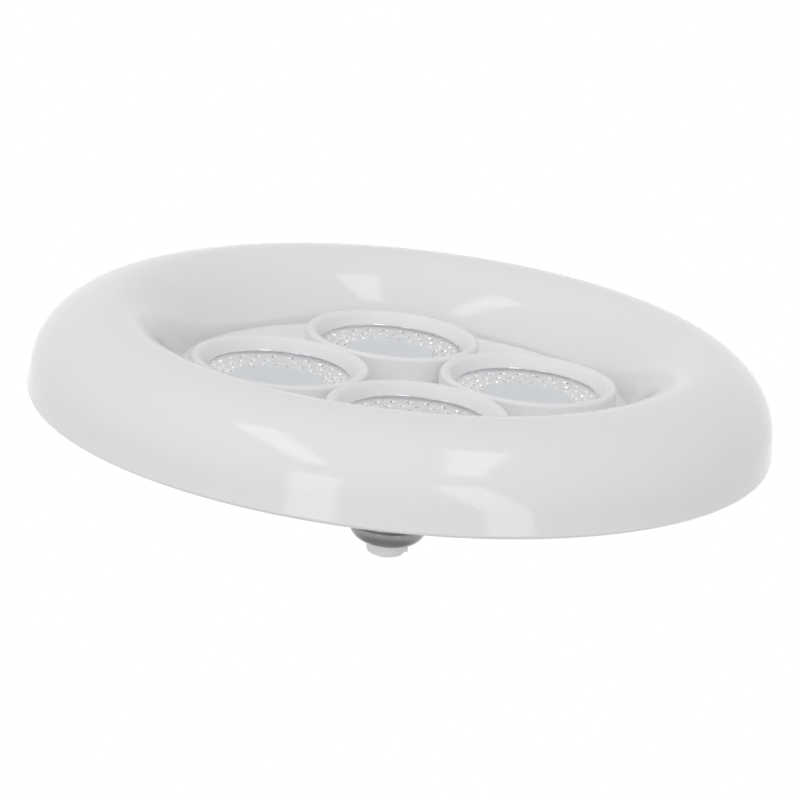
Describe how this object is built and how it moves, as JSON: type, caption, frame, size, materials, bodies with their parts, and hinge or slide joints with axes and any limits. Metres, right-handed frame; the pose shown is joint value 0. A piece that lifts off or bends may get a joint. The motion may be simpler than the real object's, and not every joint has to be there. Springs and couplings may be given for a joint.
{
  "type": "screw-in led spotlight lamp",
  "caption": "Flat screw-in LED lamp: a glossy opal ring diffuser round a sunk centre of raised spots with clear crystal-cut windows, on a nickel Edison screw cap.",
  "frame": {"origin": "tip of the cap's centre contact, on the lamp's axis", "axes": "+Z along the lamp's axis from the cap to the light face, +X and +Y through the middles of spots"},
  "size_m": [0.2498, 0.2498, 0.0809],
  "materials": {
    "opal": "glossy opal white, lets the light through",
    "white_panel": "smooth white, semi-gloss",
    "clear_crystal": "clear, crystal-cut band round a frosted middle",
    "bright_reflector": "metallised, bright",
    "white_board": "white solder mask on aluminium",
    "led_package": "white package with a yellow phosphor window",
    "bare_aluminium": "mill finish",
    "white_housing": "fine moulded texture",
    "collar_plastic": "fine moulded texture",
    "nickel": "nickel plated, polished",
    "cap_plastic": "smooth pale grey",
    "contact_brass": "bright",
    "green_board": "solder mask",
    "black_package": "moulded epoxy",
    "capacitor_sleeve": "shrunk sleeve",
    "ferrite": "sintered",
    "copper_wire": "enamelled copper",
    "green_ceramic": "lacquered",
    "blue_epoxy": "dipped epoxy",
    "ivory_plastic": "nylon",
    "brown_insulation": "silicone",
    "blue_insulation": "silicone",
    "red_insulation": "silicone",
    "zinc_steel": "zinc plated"
  },
  "bodies": {
    "root": {"ring_diffuser": "opal", "spot_panel": "white_panel", "spot_lens_1": "clear_crystal", "spot_lens_2": "clear_crystal", "spot_lens_3": "clear_crystal", "spot_lens_4": "clear_crystal", "spot_reflector_1": "bright_reflector", "spot_reflector_2": "bright_reflector", "spot_reflector_3": "bright_reflector", "spot_reflector_4": "bright_reflector", "spot_led_board": "white_board", "spot_leds": "led_package", "ring_led_board": "white_board", "ring_leds": "led_package", "carrier_plate": "bare_aluminium", "back_housing": "white_housing", "neck_collar": "collar_plastic", "screw_shell": "nickel", "cap_insulator": "cap_plastic", "centre_contact": "contact_brass", "driver_board": "green_board", "bridge_rectifier": "black_package", "input_capacitor": "capacitor_sleeve", "output_capacitor": "capacitor_sleeve", "choke_core": "ferrite", "choke_winding": "copper_wire", "driver_chip": "black_package", "fuse_resistor": "green_ceramic", "varistor": "blue_epoxy", "lead_connector": "ivory_plastic", "live_wire": "brown_insulation", "neutral_wire": "blue_insulation", "ring_board_wires": "red_insulation", "spot_board_wires": "red_insulation", "plate_screws": "zinc_steel", "panel_screws": "zinc_steel", "collar_screws": "zinc_steel", "driver_screws": "zinc_steel"}
  },
  "joints": []
}
